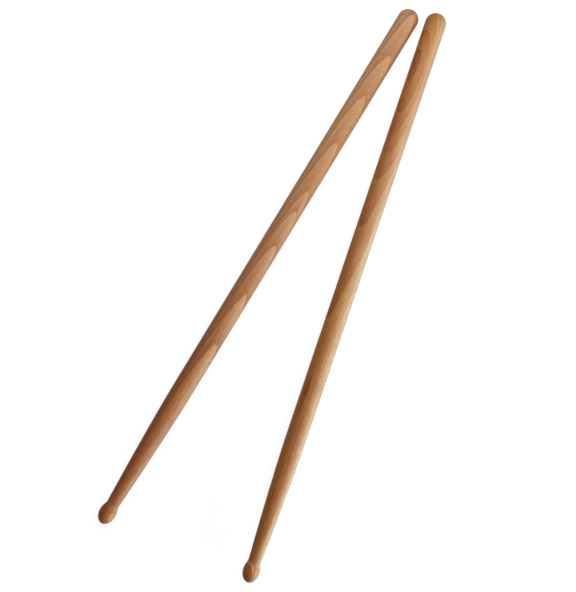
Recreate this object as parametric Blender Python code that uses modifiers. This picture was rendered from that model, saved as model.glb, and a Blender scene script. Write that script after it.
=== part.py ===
"""A pair of turned wooden drumsticks, lying splayed on a flat surface.

Metres, +Z up. The sticks rest on z = 0, with their butts side by side towards +Y and their beads
fanned out towards -Y. Each stick is turned from one piece of wood, so one profile spun about its
axis is the whole stick.
"""
import math

import bpy
from mathutils import Vector

# The turned stick
STICK_LENGTH = 0.406
SHAFT_DIAMETER = 0.0143
TAPER_LENGTH = 0.089
TAPER_POWER = 1.5
NECK_DIAMETER = 0.0087
NECK_BLEND = 0.0006
BEAD_DIAMETER = 0.0116
BEAD_NOSE_LENGTH = 0.0081
BEAD_TAIL_LENGTH = 0.0093

# How the pair lies
SPLAY_ANGLE = math.radians(12.73)
BUTT_GAP = 0.0038
BUTT_STAGGER = 0.0054

# Facets round the stick, and rings along each stretch of it
SIDES = 48
NOSE_RINGS = 9
TAIL_RINGS = 10
TAPER_RINGS = 14
BUTT_RINGS = 10
POLE_MERGE = 0.00001

# The wood's look
LEFT_WOOD = (0.54, 0.28, 0.14, 1.0)
RIGHT_WOOD = (0.56, 0.31, 0.14, 1.0)
WOOD_ROUGHNESS = 0.45

# Radii and heights along the stick, measured from the centre of its round butt
SHAFT_RADIUS = SHAFT_DIAMETER / 2
NECK_RADIUS = NECK_DIAMETER / 2
BEAD_RADIUS = BEAD_DIAMETER / 2
TIP_HEIGHT = STICK_LENGTH - SHAFT_RADIUS
BEAD_HEIGHT = TIP_HEIGHT - BEAD_NOSE_LENGTH
NECK_REACH = BEAD_TAIL_LENGTH * math.sqrt(max(0.0, 1 - (NECK_DIAMETER / BEAD_DIAMETER) ** 2))
NECK_HEIGHT = BEAD_HEIGHT - NECK_REACH
SHOULDER_HEIGHT = NECK_HEIGHT - TAPER_LENGTH


def smooth_max(a, b, blend):
    """The larger of two radii, rounded off where they are within the blend of each other."""
    overlap = max(blend - abs(a - b), 0.0)
    return max(a, b) + overlap * overlap / (4 * blend)


def taper_radius(height):
    """The straight shaft, then the convex taper down to the neck, which runs on inside the bead."""
    along = (height - SHOULDER_HEIGHT) / TAPER_LENGTH
    along = min(max(along, 0.0), 1.0)
    return SHAFT_RADIUS - (SHAFT_RADIUS - NECK_RADIUS) * along ** TAPER_POWER


def bead_tail_radius(height):
    """The half ellipse on the butt side of the bead's widest ring."""
    along = (BEAD_HEIGHT - height) / BEAD_TAIL_LENGTH
    return BEAD_RADIUS * math.sqrt(max(0.0, 1 - along * along))


def stick_radius(height):
    """The stick's radius anywhere between its butt and the widest ring of its bead."""
    return smooth_max(taper_radius(height), bead_tail_radius(height), NECK_BLEND)


def quarter_turn(rings):
    """Evenly spaced angles from 0 up to a right angle, which is left out."""
    return [math.pi / 2 * ring / rings for ring in range(rings)]


def spaced(start, end, rings):
    """Evenly spaced heights from the start up to the end, which is left out."""
    return [start + (end - start) * ring / rings for ring in range(rings)]


def turned_profile():
    """The stick's radii and heights, from the tip of the bead down to the butt."""
    blend_end = NECK_HEIGHT - 2 * NECK_BLEND
    nose = [
        (BEAD_RADIUS * math.sin(angle), BEAD_HEIGHT + BEAD_NOSE_LENGTH * math.cos(angle))
        for angle in quarter_turn(NOSE_RINGS)
    ]
    heights = spaced(BEAD_HEIGHT, blend_end, TAIL_RINGS)
    heights += spaced(blend_end, SHOULDER_HEIGHT, TAPER_RINGS)
    body = [(stick_radius(height), height) for height in heights + [SHOULDER_HEIGHT]]
    butt = [
        (SHAFT_RADIUS * math.cos(angle), -SHAFT_RADIUS * math.sin(angle))
        for angle in quarter_turn(BUTT_RINGS)
    ]
    return nose + body + butt + [(0.0, -SHAFT_RADIUS)]


def wood_material(name, colour):
    """A satin wood finish in one colour."""
    material = bpy.data.materials.new(name)
    material.use_nodes = True
    shader = material.node_tree.nodes["Principled BSDF"]
    shader.inputs["Base Color"].default_value = colour
    shader.inputs["Roughness"].default_value = WOOD_ROUGHNESS
    shader.inputs["Metallic"].default_value = 0.0
    material.diffuse_color = colour
    return material


def stick_mesh(name):
    """The turned profile as one line of edges, turned so that a flat facet faces the floor."""
    turn = -math.pi / 2 - math.pi / SIDES
    points = [
        (radius * math.cos(turn), radius * math.sin(turn), height)
        for radius, height in turned_profile()
    ]
    edges = [(index, index + 1) for index in range(len(points) - 1)]
    mesh = bpy.data.meshes.new(name)
    mesh.from_pydata(points, edges, [])
    return mesh


def add_stick(name, side, colour, pair, collection):
    """One stick, spun from its profile; side is -1 for the left one and 1 for the right one."""
    stick = bpy.data.objects.new(name, stick_mesh(name))
    collection.objects.link(stick)
    stick.data.materials.append(wood_material(name + "_wood", colour))
    spin = stick.modifiers.new("lathe", "SCREW")
    spin.axis = "Z"
    spin.angle = 2 * math.pi
    spin.screw_offset = 0.0
    spin.steps = SIDES
    spin.render_steps = SIDES
    spin.use_merge_vertices = True
    spin.merge_threshold = POLE_MERGE
    spin.use_smooth_shade = True
    stick.parent = pair
    stick.location = (side * (SHAFT_DIAMETER + BUTT_GAP) / 2, side * BUTT_STAGGER / 2, 0.0)
    stick.rotation_euler = (math.pi / 2, 0.0, side * SPLAY_ANGLE / 2)
    return stick


def rest_on_floor(pair, sticks):
    """Move the pair onto z = 0, with the middle of its footprint at the origin."""
    bpy.context.view_layer.update()
    graph = bpy.context.evaluated_depsgraph_get()
    points = []
    for stick in sticks:
        solid = stick.evaluated_get(graph)
        points += [solid.matrix_world @ vertex.co for vertex in solid.data.vertices]
    low = Vector([min(point[axis] for point in points) for axis in range(3)])
    high = Vector([max(point[axis] for point in points) for axis in range(3)])
    pair.location = (-(low.x + high.x) / 2, -(low.y + high.y) / 2, -low.z)


def build():
    """Clear the scene and make the pair of sticks."""
    for old in list(bpy.data.objects):
        bpy.data.objects.remove(old, do_unlink=True)
    collection = bpy.data.collections.new("drumsticks")
    bpy.context.scene.collection.children.link(collection)
    pair = bpy.data.objects.new("pair", None)
    collection.objects.link(pair)
    left = add_stick("left_stick", -1, LEFT_WOOD, pair, collection)
    right = add_stick("right_stick", 1, RIGHT_WOOD, pair, collection)
    rest_on_floor(pair, [left, right])


build()
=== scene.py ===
"""The looks of a pair of turned wooden drumsticks, seen from straight above on a white surface.

Each stick is a fine turned mesh with a procedural wood that follows the growth layers of the piece it
was turned from. The layers slant to the stick's axis, so the turning cuts their borders into long tongues.

Lengths are in metres. A stick's own Z runs along it, from 0 at the centre of its round butt to its tip.
Its own Y points up, and its X to the side.
"""
import math
from dataclasses import dataclass

import bpy
from mathutils import Matrix, Vector


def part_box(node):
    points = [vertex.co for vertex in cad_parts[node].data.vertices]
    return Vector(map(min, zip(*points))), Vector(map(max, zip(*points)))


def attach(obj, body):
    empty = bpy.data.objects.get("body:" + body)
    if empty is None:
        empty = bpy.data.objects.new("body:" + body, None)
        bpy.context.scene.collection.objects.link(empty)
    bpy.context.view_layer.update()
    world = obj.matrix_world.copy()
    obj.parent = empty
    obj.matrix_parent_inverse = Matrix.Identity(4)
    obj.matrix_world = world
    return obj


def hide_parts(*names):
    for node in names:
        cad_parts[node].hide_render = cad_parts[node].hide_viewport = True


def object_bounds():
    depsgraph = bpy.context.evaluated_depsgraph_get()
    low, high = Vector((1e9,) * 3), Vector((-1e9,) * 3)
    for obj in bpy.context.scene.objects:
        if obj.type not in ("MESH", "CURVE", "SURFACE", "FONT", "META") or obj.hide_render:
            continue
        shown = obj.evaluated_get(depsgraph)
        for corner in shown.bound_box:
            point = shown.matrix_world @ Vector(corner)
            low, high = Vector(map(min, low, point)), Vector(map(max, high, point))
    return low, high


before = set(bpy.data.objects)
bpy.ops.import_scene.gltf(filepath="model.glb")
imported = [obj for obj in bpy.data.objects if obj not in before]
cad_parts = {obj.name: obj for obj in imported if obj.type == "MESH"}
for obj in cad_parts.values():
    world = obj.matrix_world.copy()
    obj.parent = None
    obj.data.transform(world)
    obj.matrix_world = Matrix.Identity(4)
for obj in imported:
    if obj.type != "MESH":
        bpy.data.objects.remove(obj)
cad_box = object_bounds()

# The turned stick, as the CAD has it
STICK_LENGTH = 0.406
SHAFT_RADIUS = 0.00715
TAPER_LENGTH = 0.089
TAPER_POWER = 1.5
NECK_RADIUS = 0.00435
NECK_BLEND = 0.0006
BEAD_RADIUS = 0.0058
BEAD_NOSE_LENGTH = 0.0081
BEAD_TAIL_LENGTH = 0.0093
SPLAY_ANGLE = math.radians(12.73)

# Heights along a stick
TIP_HEIGHT = STICK_LENGTH - SHAFT_RADIUS
BEAD_HEIGHT = TIP_HEIGHT - BEAD_NOSE_LENGTH
NECK_HEIGHT = BEAD_HEIGHT - BEAD_TAIL_LENGTH * math.sqrt(1 - (NECK_RADIUS / BEAD_RADIUS) ** 2)
SHOULDER_HEIGHT = NECK_HEIGHT - TAPER_LENGTH

# The fine mesh of a stick: facets round it, rings along it, and the strips of its texture map
SIDES = 96
CAP_RINGS = 20
TAIL_RINGS = 24
RING_SPACING = 0.002
MAP_STRIPS = 3
MAP_MARGIN = 0.02


def smooth_max(a, b, blend):
    """The larger of two radii, rounded off where they are within the blend of each other."""
    overlap = max(blend - abs(a - b), 0.0)
    return max(a, b) + overlap * overlap / (4 * blend)


def stick_radius(height):
    """The stick's radius between its butt and the widest ring of its bead."""
    along = min(max((height - SHOULDER_HEIGHT) / TAPER_LENGTH, 0.0), 1.0)
    taper = SHAFT_RADIUS - (SHAFT_RADIUS - NECK_RADIUS) * along ** TAPER_POWER
    past_bead = (BEAD_HEIGHT - height) / BEAD_TAIL_LENGTH
    bead = BEAD_RADIUS * math.sqrt(max(0.0, 1 - past_bead * past_bead))
    return smooth_max(taper, bead, NECK_BLEND)


def spaced(start, end, steps):
    """Evenly spaced values from the start up to the end, which is left out."""
    return [start + (end - start) * step / steps for step in range(steps)]


def turned_profile():
    """Radii and heights from just above the butt's pole to just below the tip, poles left out."""
    quarter = spaced(math.pi / 2, 0.0, CAP_RINGS)
    butt = [(SHAFT_RADIUS * math.cos(a), -SHAFT_RADIUS * math.sin(a)) for a in quarter[1:]]
    blend_end = NECK_HEIGHT - 2 * NECK_BLEND
    heights = spaced(0.0, blend_end, round(blend_end / RING_SPACING))
    heights += spaced(blend_end, BEAD_HEIGHT, TAIL_RINGS)
    body = [(stick_radius(height), height) for height in heights]
    nose = [
        (BEAD_RADIUS * math.cos(a), BEAD_HEIGHT + BEAD_NOSE_LENGTH * math.sin(a))
        for a in spaced(0.0, math.pi / 2, CAP_RINGS)
    ]
    return butt + body + nose


def turned_cells(rings):
    """The corners of each face, as steps round the stick and rows along it; the end rows are the poles."""
    cells = [((side + 0.5, 0), (side + 1, 1), (side, 1)) for side in range(SIDES)]
    for row in range(1, rings):
        for side in range(SIDES):
            cells.append(((side, row), (side + 1, row), (side + 1, row + 1), (side, row + 1)))
    cells += [((side, rings), (side + 1, rings), (side + 0.5, rings + 1)) for side in range(SIDES)]
    return cells


def turned_mesh(name):
    """The profile spun about local Z, closed by a pole at each end, with a map for its textures."""
    profile = turned_profile()
    rings = len(profile)
    points = [(0.0, 0.0, -SHAFT_RADIUS)]
    for radius, height in profile:
        for angle in spaced(0.0, 2 * math.pi, SIDES):
            points.append((radius * math.cos(angle), radius * math.sin(angle), height))
    points.append((0.0, 0.0, TIP_HEIGHT))

    def point_number(side, row):
        """Which point a corner is: a pole, or one on a ring."""
        if row == 0:
            return 0
        if row > rings:
            return len(points) - 1
        return 1 + (row - 1) * SIDES + side % SIDES

    cells = turned_cells(rings)
    mesh = bpy.data.meshes.new(name)
    mesh.from_pydata(points, [], [[point_number(*corner) for corner in cell] for cell in cells])
    mesh.shade_smooth()
    lay_map(mesh, cells, path_lengths(profile))
    return mesh


def path_lengths(profile):
    """How far along the profile each ring lies, poles included."""
    line = [(0.0, -SHAFT_RADIUS)] + profile + [(0.0, TIP_HEIGHT)]
    lengths = [0.0]
    for (r0, z0), (r1, z1) in zip(line, line[1:]):
        lengths.append(lengths[-1] + math.hypot(r1 - r0, z1 - z0))
    return lengths


def lay_map(mesh, cells, lengths):
    """Unroll the stick into equal strips side by side, so that the map is about square."""
    layer = mesh.uv_layers.new(name="OFBake")
    strip_length = lengths[-1] / MAP_STRIPS
    usable = 1 - 2 * MAP_MARGIN
    for polygon, cell in zip(mesh.polygons, cells):
        middle = sum(lengths[row] for _, row in cell) / len(cell)
        strip = min(int(middle / strip_length), MAP_STRIPS - 1)
        for loop, (side, row) in zip(polygon.loop_indices, cell):
            across = (strip + MAP_MARGIN + usable * side / SIDES) / MAP_STRIPS
            along = (lengths[row] - strip * strip_length) / strip_length
            layer.uv[loop].vector = (across, MAP_MARGIN + usable * along)


def feed(tree, socket, value):
    """Link another node's output to an input, or set the input to a plain value."""
    if isinstance(value, bpy.types.NodeSocket):
        tree.links.new(value, socket)
    else:
        socket.default_value = value


def node(tree, kind, inputs, **settings):
    """Add a node, set its options and feed its inputs."""
    made = tree.nodes.new(kind)
    for name, value in settings.items():
        setattr(made, name, value)
    for socket, value in inputs.items():
        feed(tree, made.inputs[socket], value)
    return made


def calc(tree, operation, a, b=0.0, c=0.0):
    """One step of arithmetic."""
    return node(tree, "ShaderNodeMath", {0: a, 1: b, 2: c}, operation=operation).outputs[0]


def vector_calc(tree, operation, a, b):
    """One step of arithmetic on vectors."""
    return node(tree, "ShaderNodeVectorMath", {0: a, 1: b}, operation=operation).outputs["Vector"]


def vector_length(tree, vector):
    """How long a vector is."""
    return node(tree, "ShaderNodeVectorMath", {0: vector}, operation="LENGTH").outputs["Value"]


def blend_colours(tree, share, a, b, blend_type="MIX"):
    """Two colours mixed by a share, or one tinted by the other with the blend type MULTIPLY."""
    made = node(
        tree, "ShaderNodeMix", {0: share, 6: a, 7: b}, data_type="RGBA", blend_type=blend_type
    )
    return made.outputs[2]


def fade(tree, value, low, high, at_low=0.0, at_high=1.0):
    """A smooth change from one amount to another while the value goes from low to high."""
    made = node(
        tree,
        "ShaderNodeMapRange",
        {0: value, 1: low, 2: high, 3: at_low, 4: at_high},
        interpolation_type="SMOOTHSTEP",
    )
    return made.outputs[0]


def grain_noise(tree, place, across, along, shift, detail=2.0, roughness=0.5):
    """Noise about 0, drawn out along the stick; across and along are the sizes of its features."""
    stretched = node(
        tree,
        "ShaderNodeMapping",
        {"Vector": place, "Location": (shift,) * 3, "Scale": (1 / across, 1 / across, 1 / along)},
    )
    made = node(
        tree,
        "ShaderNodeTexNoise",
        {"Vector": stretched.outputs[0], "Scale": 1.0, "Detail": detail, "Roughness": roughness},
    )
    return calc(tree, "SUBTRACT", made.outputs[0], 0.5)


def value_curve(tree, value, points):
    """A line of straight stretches through the points, from 0 to 1 both ways."""
    made = node(tree, "ShaderNodeFloatCurve", {"Value": value})
    line = made.mapping.curves[0]
    for x, y in points[1:-1]:
        line.points.new(x, y)
    for point, (x, y) in zip(line.points, points):
        point.location = (x, y)
        point.handle_type = "VECTOR"
    made.mapping.update()
    return made.outputs[0]


def colour_ramp(tree, value, stops):
    """Colours at given positions, blended in between."""
    made = node(tree, "ShaderNodeValToRGB", {0: value})
    elements = made.color_ramp.elements
    for position, _ in stops[1:-1]:
        elements.new(position)
    for element, (position, colour) in zip(elements, stops):
        element.position = position
        element.color = (*colour, 1.0)
    return made.outputs[0]


@dataclass
class Spot:
    """An oval place in a stick, with a soft edge that is a share of its reach."""

    centre: tuple
    reach: tuple
    edge: float


@dataclass(kw_only=True)
class Wood:
    """The piece of wood that a stick is turned from: its growth layers, its rings and its colours, with
    painted light and shade in its side colours and in some of its marks.
    """

    # The side that the layers face, as an angle from straight up towards +X: at the butt, how it
    # turns per metre, and a late turn with its start, its end and its angle
    face_turn: float
    twist: float
    late_turn: tuple = (0.0, 0.1, 0.0)

    # How the depth in the layers changes along the stick: a steady lean; a bow, with its slope, the
    # height where it turns and its rounding; and a step, with its start, its end and its size
    lean: float
    bow: tuple = (0.0, 0.0, 0.001)
    step: tuple = (0.0, 0.1, 0.0)

    # Whether a ring darkens with depth, 1, or pales, -1; the depths of the ring borders, times that;
    # and the shade across a ring, from about 0 in early wood to about 1 in late wood
    growth: int
    rings: tuple
    ring_shades: tuple

    # Where the rings show less: from a height on; between two shares of the way across, with what
    # is left of them near the butt and further on; and in spots, with the share that each takes off
    plain_start: float
    pale_side: tuple
    pale_side_rings: tuple
    faint_rings: tuple = ()

    # One colour for all sides, the heights between which it gives way to a colour for each side, and
    # how far those shift towards -X per metre, as a share of the way across. The side colours are partly
    # the wood's own tone and partly painted shade towards -X and painted light and sheen towards +X;
    # the heights say where along the stick that painted shading comes in
    even: tuple
    uneven: tuple
    sides: dict
    side_tilt: float = 0.0

    # Patches with their size across and along the stick and their strength, how much the wood
    # blushes, and marks with the tint of each
    patches: tuple
    blush: float
    marks: tuple


LEFT_WOOD = Wood(
    face_turn=math.radians(18),
    twist=math.radians(62),
    lean=-0.0516,
    growth=-1,
    rings=(
        -0.0168, -0.0147, -0.0126, -0.0104, -0.0083, -0.0062, -0.0041, -0.0020, -0.0002, 0.0014,
        0.0031, 0.0051, 0.0071, 0.0078, 0.0092, 0.0112, 0.0131, 0.0184, 0.0222,
    ),
    ring_shades=(
        (0.0, 0.05), (0.02, 0.0), (0.15, 0.10), (0.35, 0.34), (0.62, 0.61), (0.82, 0.76), (0.95, 1.0),
        (1.0, 1.08),
    ),
    plain_start=0.315,
    pale_side=(0.40, 0.62),
    pale_side_rings=(0.69, 0.92),
    even=(0.626, 0.343, 0.154),
    uneven=(0.02, 0.35),
    # Partly the wood's tone, partly painted shade on the -X side and painted light and sheen on the +X
    # side
    sides={
        "dark": (0.215, 0.048, 0.003),
        "brown": (0.345, 0.098, 0.012),
        "top": (0.480, 0.168, 0.037),
        "golden": (0.565, 0.323, 0.165),
        "pale": (0.603, 0.415, 0.248),
    },
    patches=(0.006, 0.050, 0.28),
    blush=0.3,
    marks=(
        # The bead: browner all over, and paler on the +X side of its nose
        (Spot((0.0, 0.0050, 0.3925), (0.0080, 0.0080, 0.0105), 0.40), (0.97, 0.86, 0.56)),
        (Spot((0.0052, 0.0040, 0.3969), (0.0085, 0.0120, 0.0085), 0.06), (1.28, 1.42, 1.80)),
        # The taper: paler on its +X side, partly painted light on that lit side, and a dark streak beside
        # a pale one on its top
        (Spot((0.0050, 0.0040, 0.3300), (0.0045, 0.0080, 0.0750), 0.90), (1.09, 1.08, 1.06)),
        (Spot((-0.0029, 0.0064, 0.3060), (0.0019, 0.0030, 0.0330), 0.70), (0.90, 0.84, 0.82)),
        (Spot((0.0004, 0.0070, 0.3020), (0.0024, 0.0030, 0.0260), 0.70), (1.08, 1.14, 1.22)),
    ),
)
RIGHT_WOOD = Wood(
    face_turn=math.radians(-45),
    twist=math.radians(24),
    late_turn=(0.150, 0.205, math.radians(-26)),
    lean=-0.0487,
    bow=(0.112, 0.025, 0.0105),
    step=(0.050, 0.134, 0.0063),
    growth=1,
    rings=(-0.0056, -0.0028, -0.0010, 0.0011, 0.0034, 0.0067, 0.0098, 0.0139, 0.0280, 0.0420),
    ring_shades=(
        (0.0, 0.24), (0.05, 0.20), (0.36, 0.43), (0.70, 0.60), (0.90, 0.78), (0.97, 1.0), (1.0, 1.08),
    ),
    plain_start=0.215,
    pale_side=(0.60, 0.85),
    pale_side_rings=(0.45, 0.30),
    faint_rings=((Spot((-0.0030, 0.0060, 0.0835), (0.0060, 0.0060, 0.0190), 0.60), 0.72),),
    even=(0.575, 0.255, 0.070),
    uneven=(-0.20, 0.30),
    # Partly the wood's tone, partly painted shade on the -X side and painted light and sheen on the +X
    # side
    sides={
        "dark": (0.360, 0.123, 0.017),
        "brown": (0.408, 0.150, 0.025),
        "top": (0.535, 0.237, 0.067),
        "golden": (0.622, 0.455, 0.240),
        "pale": (0.705, 0.635, 0.470),
    },
    side_tilt=0.4,
    patches=(0.0045, 0.014, 0.60),
    blush=1.0,
    marks=(
        # A dark lens just short of the taper, then its tail, and a small stroke nearer the butt
        (Spot((-0.0038, 0.0060, 0.2600), (0.0019, 0.0030, 0.0090), 0.45), (0.80, 0.56, 0.33)),
        (Spot((-0.0043, 0.0057, 0.2690), (0.0014, 0.0030, 0.0110), 0.45), (0.86, 0.70, 0.48)),
        (Spot((-0.0016, 0.0068, 0.0915), (0.0012, 0.0030, 0.0040), 0.70), (0.84, 0.72, 0.54)),
        # The bead: a pale arc round a dark cap, and a thin dark line across its shoulder
        (Spot((-0.0048, 0.0037, 0.3912), (0.0067, 0.0067, 0.0067), 0.06), (1.80, 2.30, 4.20)),
        (Spot((-0.0044, 0.0037, 0.3922), (0.0061, 0.0061, 0.0064), 0.06), (0.55, 0.37, 0.20)),
        (Spot((0.0028, 0.0042, 0.3871), (0.0034, 0.0035, 0.0006), 0.60), (0.84, 0.72, 0.62)),
        # Paler on the taper's +X side, halfway along, at the butt and next to it; darker on its -X side;
        # the +X and -X ones are partly painted light and painted shade
        (Spot((0.0058, 0.0030, 0.3450), (0.0042, 0.0080, 0.0900), 0.90), (1.14, 1.20, 1.28)),
        (Spot((-0.0010, 0.0070, 0.1850), (0.0080, 0.0080, 0.0450), 0.90), (1.06, 1.12, 1.18)),
        (Spot((0.0040, 0.0050, 0.0050), (0.0070, 0.0070, 0.0330), 0.90), (1.06, 1.14, 1.20)),
        (Spot((0.0022, 0.0065, 0.0600), (0.0050, 0.0060, 0.0600), 0.90), (1.06, 1.07, 1.07)),
        (Spot((-0.0055, 0.0045, 0.0500), (0.0060, 0.0080, 0.0750), 0.90), (0.88, 0.82, 0.80)),
    ),
)

# The layers bend: what this adds to the depth, times the square of the distance aside
LAYER_CURVE = -40.0

# Waves in the layers: their size across and along the stick, and how far they move a layer
LAYER_WAVES = ((0.012, 0.07, 0.0006), (0.0022, 0.022, 0.00022), (0.0007, 0.012, 0.00016))

# How the rings tint the wood: early wood, the middle of a ring, and late wood
RING_TINTS = (
    (0.0, (1.13, 1.15, 1.18)),
    (0.2, (1.0, 1.0, 1.0)),
    (0.6, (0.892, 0.77, 0.71)),
    (1.0, (0.717, 0.53, 0.46)),
)

# The shade of wood without rings, the length over which they fade, how much is left of them on the
# taper, and the heights between which the pale side's share of them changes
PLAIN_SHADE = 0.6
RING_FADE = 0.035
TAPER_RINGS = 0.35
PALE_SIDE_CHANGE = (0.14, 0.19)

# Where each colour lies between a stick's -X side, 0, and its +X side, 1, and the height at which
# side_tilt shifts nothing; closer to the axis than POLE_REACH, the colours run together. Besides the
# wood's tone, these colours hold painted shade towards -X and painted light towards +X
SIDE_PLACES = {"dark": 0.03, "brown": 0.25, "top": 0.50, "golden": 0.78, "pale": 0.92}
TILT_HEIGHT = 0.2
POLE_REACH = 0.004

# Long and short mottling: its size across and along the stick, and how much it changes the shade on the
# shaft and on the taper; the heights between which that changes; and shifts that keep noises apart
MOTTLING = ((0.0011, 0.06, 0.44, 1.25), (0.0011, 0.005, 0.64, 1.15))
TAPER_CHANGE = (0.16, 0.30)
MOTTLE_SHIFT = 5.0
PATCH_SHIFT = 7.0

# Streaks that fray the change of colour between the sides, and how far, on the shaft and on the taper
STREAKS = {"across": 0.0013, "along": 0.08, "shift": 21.0}
STREAK_SPREAD = (0.06, 0.2)

# Rosy patches: where their noise starts to show and shows in full, and their tint
BLUSH_NOISE = {"across": 0.004, "along": 0.012, "shift": 13.0}
BLUSH_LEVELS = (0.0, 0.25)
BLUSH_TINT = (1.0, 0.94, 0.97)

# Long fibres, short pores and small flecks: what they do to the brightness, and the noise levels
# between which pores and flecks show
FIBRES = {"across": 0.0004, "along": 0.02, "shift": 0.0, "detail": 4.0, "roughness": 0.6}
FIBRE_CONTRAST = 0.5
PORES = {"across": 0.00022, "along": 0.0035, "shift": 11.0, "detail": 1.0}
PORE_LEVELS = (0.14, 0.24)
PORE_SHADE = -0.22
FLECKS = {"across": 0.0005, "along": 0.0018, "shift": 17.0, "detail": 1.0}
FLECK_LEVELS = (0.08, 0.20)
FLECK_SHADE = -0.16

# The satin finish: its roughness, what fibres add to that, its sheen, and the relief of pores and fibres
ROUGHNESS = 0.52
FIBRE_ROUGHNESS = 0.2
SPECULAR_LEVEL = 0.33
PORE_RELIEF = -0.6
BUMP_STRENGTH = 0.25
BUMP_DISTANCE = 0.00008


def layer_waves(tree, place):
    """How far the waves move a layer."""
    moved = 0.0
    for number, (across, along, reach) in enumerate(LAYER_WAVES):
        moved = calc(tree, "MULTIPLY_ADD", grain_noise(tree, place, across, along, number), reach, moved)
    return moved


def layer_turn(tree, height, wood):
    """The side of the stick that the layers face at a height."""
    steady = calc(tree, "MULTIPLY_ADD", height, wood.twist, wood.face_turn)
    start, end, angle = wood.late_turn
    return calc(tree, "ADD", steady, fade(tree, height, start, end, 0.0, angle))


def depth_along(tree, height, wood):
    """What the layers' lean, bow and step add to the depth at a height, from 0 at the butt."""
    slope, bow_height, rounding = wood.bow
    from_bow = calc(tree, "SUBTRACT", height, bow_height)
    square = calc(tree, "MULTIPLY_ADD", from_bow, from_bow, rounding ** 2)
    bow_at_butt = slope * math.hypot(bow_height, rounding)
    bow = calc(tree, "MULTIPLY_ADD", calc(tree, "SQRT", square), slope, -bow_at_butt)
    leaning = calc(tree, "MULTIPLY_ADD", height, wood.lean, bow)
    start, end, step = wood.step
    return calc(tree, "ADD", leaning, fade(tree, height, start, end, 0.0, step))


def ring_depth(tree, place, wood):
    """How deep a point lies in the growth layers; the layers follow the butt's dome."""
    split = node(tree, "ShaderNodeSeparateXYZ", {0: place})
    x, y, height = split.outputs
    turn = layer_turn(tree, height, wood)
    sine = calc(tree, "SINE", turn)
    cosine = calc(tree, "COSINE", turn)
    towards_face = calc(tree, "MULTIPLY_ADD", y, cosine, calc(tree, "MULTIPLY", x, sine))
    aside = calc(tree, "SUBTRACT", calc(tree, "MULTIPLY", x, cosine), calc(tree, "MULTIPLY", y, sine))
    curved = calc(tree, "MULTIPLY", calc(tree, "MULTIPLY", aside, aside), LAYER_CURVE)
    below = calc(tree, "MINIMUM", height, 0.0)
    drop = calc(tree, "MULTIPLY", below, below)
    dome = calc(tree, "SQRT", calc(tree, "SUBTRACT", SHAFT_RADIUS ** 2, drop))
    depth = calc(tree, "SUBTRACT", dome, towards_face)
    for added in (depth_along(tree, height, wood), curved, layer_waves(tree, place)):
        depth = calc(tree, "ADD", depth, added)
    return calc(tree, "MULTIPLY", depth, wood.growth)


def ring_shade(tree, place, wood):
    """The shade of a point in its ring: its place between two borders, looked up in the wood's shades."""
    first, last = wood.rings[0], wood.rings[-1]
    span = last - first
    count = len(wood.rings) - 1
    points = [((border - first) / span, number / count) for number, border in enumerate(wood.rings)]
    share = calc(tree, "MULTIPLY", calc(tree, "SUBTRACT", ring_depth(tree, place, wood), first), 1 / span)
    within = calc(tree, "FRACT", calc(tree, "MULTIPLY", value_curve(tree, share, points), count))
    return colour_ramp(tree, within, [(position, (shade,) * 3) for position, shade in wood.ring_shades])


def nearness(tree, place, spot):
    """1 inside a spot, fading to 0 over its soft edge."""
    away = vector_calc(tree, "SUBTRACT", place, spot.centre)
    distance = vector_length(tree, vector_calc(tree, "DIVIDE", away, spot.reach))
    return fade(tree, distance, 1.0 - spot.edge, 1.0, 1.0, 0.0)


def ring_strength(tree, place, height, side, wood):
    """How strongly the rings show: in full on the shaft, and less where the wood says so."""
    strength = fade(tree, height, wood.plain_start, wood.plain_start + RING_FADE, 1.0, TAPER_RINGS)
    pale_side = fade(tree, height, *PALE_SIDE_CHANGE, *wood.pale_side_rings)
    strength = calc(tree, "MULTIPLY", strength, fade(tree, side, *wood.pale_side, 1.0, pale_side))
    for spot, loss in wood.faint_rings:
        kept = calc(tree, "MULTIPLY_ADD", nearness(tree, place, spot), -loss, 1.0)
        strength = calc(tree, "MULTIPLY", strength, kept)
    return strength


def wood_shade(tree, place, height, side, wood):
    """The rings' shade as far as they show, with patches and mottling."""
    from_plain = calc(tree, "SUBTRACT", ring_shade(tree, place, wood), PLAIN_SHADE)
    strength = ring_strength(tree, place, height, side, wood)
    shade = calc(tree, "MULTIPLY_ADD", from_plain, strength, PLAIN_SHADE)
    across, along, change = wood.patches
    shade = calc(tree, "MULTIPLY_ADD", grain_noise(tree, place, across, along, PATCH_SHIFT), change, shade)
    for number, (across, along, on_shaft, on_taper) in enumerate(MOTTLING):
        mottle = grain_noise(tree, place, across, along, MOTTLE_SHIFT + number)
        change = fade(tree, height, *TAPER_CHANGE, on_shaft, on_taper)
        shade = calc(tree, "MULTIPLY_ADD", mottle, change, shade)
    return shade


def side_share(tree, place, wood):
    """0 on the stick's -X side, a half along its top and underside, and 1 on its +X side."""
    split = node(tree, "ShaderNodeSeparateXYZ", {0: place})
    x, y, height = split.outputs
    radius = calc(tree, "SQRT", calc(tree, "MULTIPLY_ADD", x, x, calc(tree, "MULTIPLY", y, y)))
    side = calc(tree, "DIVIDE", x, calc(tree, "MAXIMUM", radius, POLE_REACH))
    share = calc(tree, "MULTIPLY_ADD", side, 0.5, 0.5)
    return calc(tree, "MULTIPLY_ADD", calc(tree, "SUBTRACT", height, TILT_HEIGHT), -wood.side_tilt, share)


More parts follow.
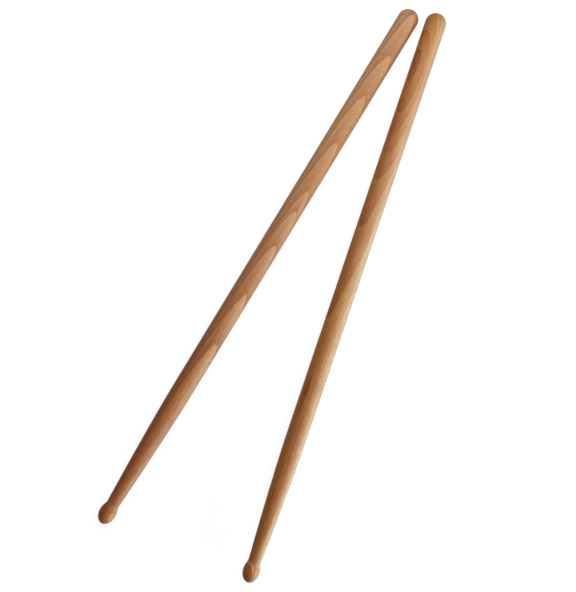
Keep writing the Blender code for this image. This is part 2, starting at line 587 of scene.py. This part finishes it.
def wood_colour(tree, place, height, wood):
    """The wood's colour without its fibres, pores and flecks, with shade and light painted in across its
    sides.
    """
    streaks = grain_noise(tree, place, **STREAKS)
    spread = fade(tree, height, *TAPER_CHANGE, *STREAK_SPREAD)
    side = calc(tree, "MULTIPLY_ADD", streaks, spread, side_share(tree, place, wood))
    # Colours across the sides: the wood's tone with painted shade towards -X and painted light and sheen
    # towards +X
    sides = colour_ramp(tree, side, [(SIDE_PLACES[name], colour) for name, colour in wood.sides.items()])
    colour = blend_colours(tree, fade(tree, height, *wood.uneven), (*wood.even, 1.0), sides)
    ring_tint = colour_ramp(tree, wood_shade(tree, place, height, side, wood), RING_TINTS)
    colour = blend_colours(tree, 1.0, colour, ring_tint, "MULTIPLY")
    blush = fade(tree, grain_noise(tree, place, **BLUSH_NOISE), *BLUSH_LEVELS, 0.0, wood.blush)
    colour = blend_colours(tree, blush, colour, (*BLUSH_TINT, 1.0), "MULTIPLY")
    for spot, tint in wood.marks:
        colour = blend_colours(tree, nearness(tree, place, spot), colour, (*tint, 1.0), "MULTIPLY")
    return colour


def add_finish(tree, shader, fibres, pores):
    """A satin finish that follows the fibres and pores."""
    roughness = calc(tree, "MULTIPLY_ADD", fibres, FIBRE_ROUGHNESS, ROUGHNESS)
    feed(tree, shader.inputs["Roughness"], roughness)
    shader.inputs["Specular IOR Level"].default_value = SPECULAR_LEVEL
    relief = calc(tree, "MULTIPLY_ADD", pores, PORE_RELIEF, fibres)
    bump = node(
        tree,
        "ShaderNodeBump",
        {"Strength": BUMP_STRENGTH, "Distance": BUMP_DISTANCE, "Height": relief},
    )
    feed(tree, shader.inputs["Normal"], bump.outputs[0])


def wood_material(name, wood):
    """Turned wood with a satin finish, shaded by its fibres, pores and flecks."""
    material = bpy.data.materials.new(name)
    material.use_nodes = True
    tree = material.node_tree
    shader = tree.nodes["Principled BSDF"]
    place = node(tree, "ShaderNodeTexCoord", {}).outputs["Object"]
    height = node(tree, "ShaderNodeSeparateXYZ", {0: place}).outputs["Z"]
    fibres = grain_noise(tree, place, **FIBRES)
    pores = fade(tree, grain_noise(tree, place, **PORES), *PORE_LEVELS)
    flecks = fade(tree, grain_noise(tree, place, **FLECKS), *FLECK_LEVELS)

    brightness = 1.0
    for texture, change in ((fibres, FIBRE_CONTRAST), (pores, PORE_SHADE), (flecks, FLECK_SHADE)):
        brightness = calc(tree, "MULTIPLY_ADD", texture, change, brightness)
    colour = wood_colour(tree, place, height, wood)
    shaded = node(tree, "ShaderNodeVectorMath", {0: colour, 3: brightness}, operation="SCALE")
    feed(tree, shader.inputs["Base Color"], shaded.outputs[0])
    add_finish(tree, shader, fibres, pores)
    return material


def add_stick(name, side, wood):
    """One turned stick in place of its CAD node; side is -1 for the left one and 1 for the right one."""
    low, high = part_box(name)
    stick = bpy.data.objects.new(name + "_turned", turned_mesh(name + "_turned"))
    bpy.context.scene.collection.objects.link(stick)
    inner_edge = high.x if side < 0 else low.x
    butt = Vector((inner_edge + side * SHAFT_RADIUS, high.y - SHAFT_RADIUS, (low.z + high.z) / 2))
    lie = Matrix.Rotation(side * SPLAY_ANGLE / 2, 4, "Z") @ Matrix.Rotation(math.pi / 2, 4, "X")
    stick.matrix_world = Matrix.Translation(butt) @ lie
    stick.data.materials.append(wood_material(name + "_wood", wood))
    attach(stick, name)
    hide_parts(name)


# The photograph's view: straight down, and turned about the line of sight; a stick is 600 pixels long
IMAGE_HEIGHT = 592
STICK_PIXELS = 600
METRES_PER_PIXEL = STICK_LENGTH / STICK_PIXELS
CAMERA_TURN = math.radians(24.97)
CAMERA_AIM = (-0.00365, -0.0119)
CAMERA_LENS_MM = 100
CAMERA_SENSOR_MM = 36

# The white surface, just below the sticks; its glow changes with the distance from the middle
FLOOR_SIZE = 12.0
FLOOR_GAP = 0.00002
FLOOR_COLOUR = (0.30, 0.30, 0.30, 1.0)
GLOW_DISTANCES = (0.1, 0.6)
GLOW_STRENGTHS = (0.85, 0.97)

# The light all round, and how bright the surroundings are where they are seen
WHITE = (1.0, 1.0, 1.0, 1.0)
AMBIENT = 0.03
BACKDROP = 0.95

# Soft lamps; places and targets are right, up and above the floor, as the camera sees them
LAMPS = {
    "overhead": {
        "place": (0.10, 0.30, 0.62),
        "target": (0.05, 0.15, 0.0),
        "size": (0.8, 0.8),
        "power": 4.3,
    },
    "side": {
        "place": (0.62, -0.36, 0.11),
        "target": (0.0, -0.12, 0.0),
        "size": (0.8, 0.2),
        "power": 4.3,
    },
}


def seen_directly(tree):
    """1 for rays from the camera, a reflection or glass, and 0 for the light that surfaces receive."""
    path = node(tree, "ShaderNodeLightPath", {})
    shown = calc(tree, "MAXIMUM", path.outputs["Is Camera Ray"], path.outputs["Is Glossy Ray"])
    return calc(tree, "MAXIMUM", shown, path.outputs["Is Transmission Ray"])


def floor_material():
    """A matt grey that takes the sticks' shadow, and a glow that lifts it to white where it is seen."""
    material = bpy.data.materials.new("floor")
    material.use_nodes = True
    tree = material.node_tree
    tree.nodes.remove(tree.nodes["Principled BSDF"])
    matt = node(tree, "ShaderNodeBsdfDiffuse", {"Color": FLOOR_COLOUR})
    place = node(tree, "ShaderNodeTexCoord", {}).outputs["Object"]
    glow_here = fade(tree, vector_length(tree, place), *GLOW_DISTANCES, *GLOW_STRENGTHS)
    strength = calc(tree, "MULTIPLY", seen_directly(tree), glow_here)
    glow = node(tree, "ShaderNodeEmission", {"Color": WHITE, "Strength": strength})
    surface = node(tree, "ShaderNodeAddShader", {0: matt.outputs[0], 1: glow.outputs[0]})
    feed(tree, tree.nodes["Material Output"].inputs["Surface"], surface.outputs[0])
    return material


def add_floor(height):
    """A wide white surface that shows a faint shadow."""
    mesh = bpy.data.meshes.new("floor")
    reach = FLOOR_SIZE / 2
    corners = [(x * reach, y * reach, height) for x, y in ((-1, -1), (1, -1), (1, 1), (-1, 1))]
    mesh.from_pydata(corners, [], [(0, 1, 2, 3)])
    mesh.materials.append(floor_material())
    floor = bpy.data.objects.new("floor", mesh)
    bpy.context.scene.collection.objects.link(floor)


def set_world():
    """White where it is seen, and a plain soft light elsewhere."""
    world = bpy.data.worlds.new("studio")
    world.use_nodes = True
    tree = world.node_tree
    strength = calc(tree, "MULTIPLY_ADD", seen_directly(tree), BACKDROP - AMBIENT, AMBIENT)
    feed(tree, tree.nodes["Background"].inputs["Color"], WHITE)
    feed(tree, tree.nodes["Background"].inputs["Strength"], strength)
    bpy.context.scene.world = world


def add_lamp(name, place, target, size, power):
    """A soft rectangular lamp, turned towards its target."""
    lamp = bpy.data.lights.new(name, "AREA")
    lamp.shape = "RECTANGLE"
    lamp.size, lamp.size_y = size
    lamp.energy = power
    made = bpy.data.objects.new(name, lamp)
    bpy.context.scene.collection.objects.link(made)
    turn = Matrix.Rotation(CAMERA_TURN, 3, "Z")
    made.location = turn @ Vector(place)
    away = turn @ (Vector(place) - Vector(target))
    made.rotation_euler = away.to_track_quat("Z", "Y").to_euler()


def add_camera(height):
    """A long lens looking straight down, with the photograph's scale at the given height."""
    data = bpy.data.cameras.new("camera")
    data.lens = CAMERA_LENS_MM
    data.sensor_width = CAMERA_SENSOR_MM
    camera = bpy.data.objects.new("camera", data)
    bpy.context.scene.collection.objects.link(camera)
    view_height = IMAGE_HEIGHT * METRES_PER_PIXEL
    distance = view_height * CAMERA_LENS_MM / CAMERA_SENSOR_MM
    camera.location = (*CAMERA_AIM, height + distance)
    camera.rotation_euler = (0.0, 0.0, CAMERA_TURN)
    bpy.context.scene.camera = camera


add_stick("left_stick", -1, LEFT_WOOD)
add_stick("right_stick", 1, RIGHT_WOOD)
add_floor(cad_box[0].z - FLOOR_GAP)
set_world()
for lamp_name, lamp in LAMPS.items():
    add_lamp(lamp_name, **lamp)
add_camera(cad_box[1].z / 2)
bpy.context.scene.view_settings.view_transform = "Standard"
